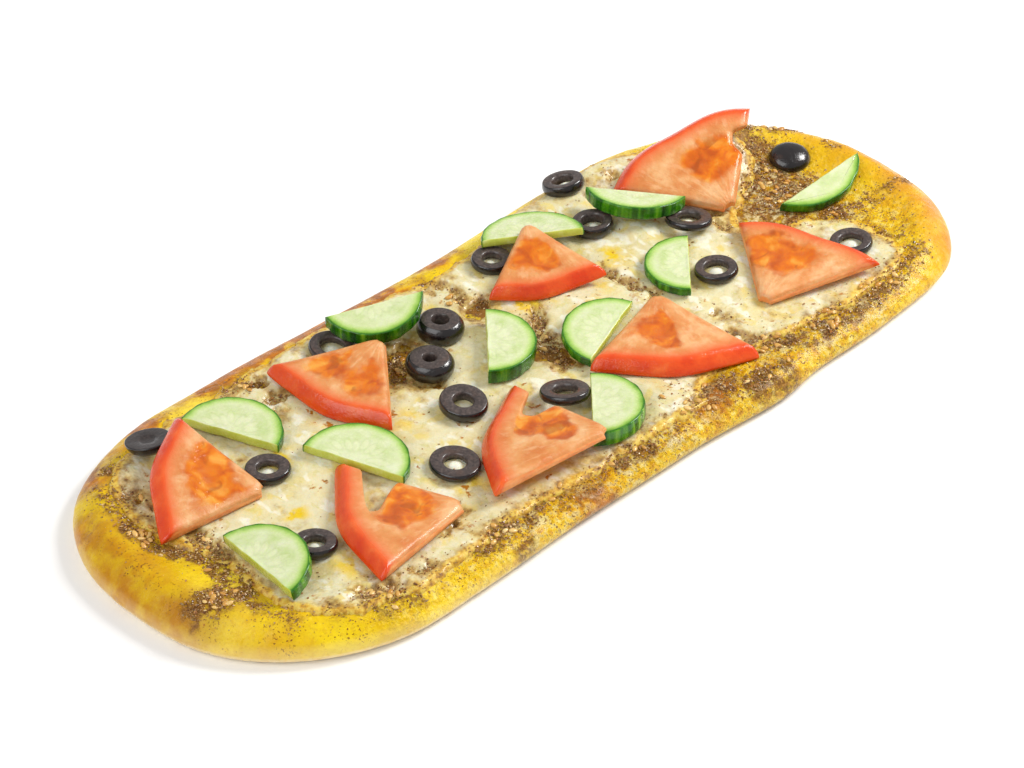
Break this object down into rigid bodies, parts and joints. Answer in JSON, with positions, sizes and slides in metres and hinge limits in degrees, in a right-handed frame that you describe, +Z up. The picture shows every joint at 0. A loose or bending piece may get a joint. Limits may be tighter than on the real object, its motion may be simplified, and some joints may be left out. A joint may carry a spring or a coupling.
{
  "type": "flatbread",
  "caption": "Long oval zaatar flatbread with a puffed golden rim, melted white cheese, tomato wedges, half slices of cucumber and black olive rings, lying flat to be served",
  "frame": {"origin": "middle of the flat underside of the bread", "axes": "+X along the length, towards the end with the raised tomato wedge; +Y across the width; +Z up from the underside"},
  "size_m": [0.3666, 0.1456, 0.0313],
  "materials": {
    "bread": "baked oiled dough",
    "cheese": "melted, slightly oily",
    "tomato": "wet cut flesh and skin",
    "cucumber": "wet cut flesh and rind",
    "olive": "oily black skin"
  },
  "bodies": {
    "root": {"bread": "bread", "cheese": "cheese", "tomato_1": "tomato", "tomato_2": "tomato", "tomato_3": "tomato", "tomato_4": "tomato", "tomato_5": "tomato", "tomato_6": "tomato", "tomato_7": "tomato", "tomato_8": "tomato", "cucumber_1": "cucumber", "cucumber_2": "cucumber", "cucumber_3": "cucumber", "cucumber_4": "cucumber", "cucumber_5": "cucumber", "cucumber_6": "cucumber", "cucumber_7": "cucumber", "cucumber_8": "cucumber", "cucumber_9": "cucumber", "cucumber_10": "cucumber", "cucumber_11": "cucumber", "olive_1": "olive", "olive_2": "olive", "olive_3": "olive", "olive_4": "olive", "olive_5": "olive", "olive_6": "olive", "olive_7": "olive", "olive_8": "olive", "olive_9": "olive", "olive_10": "olive", "olive_11": "olive", "olive_12": "olive", "olive_13": "olive", "olive_14": "olive", "olive_15": "olive", "olive_16": "olive"}
  },
  "joints": []
}
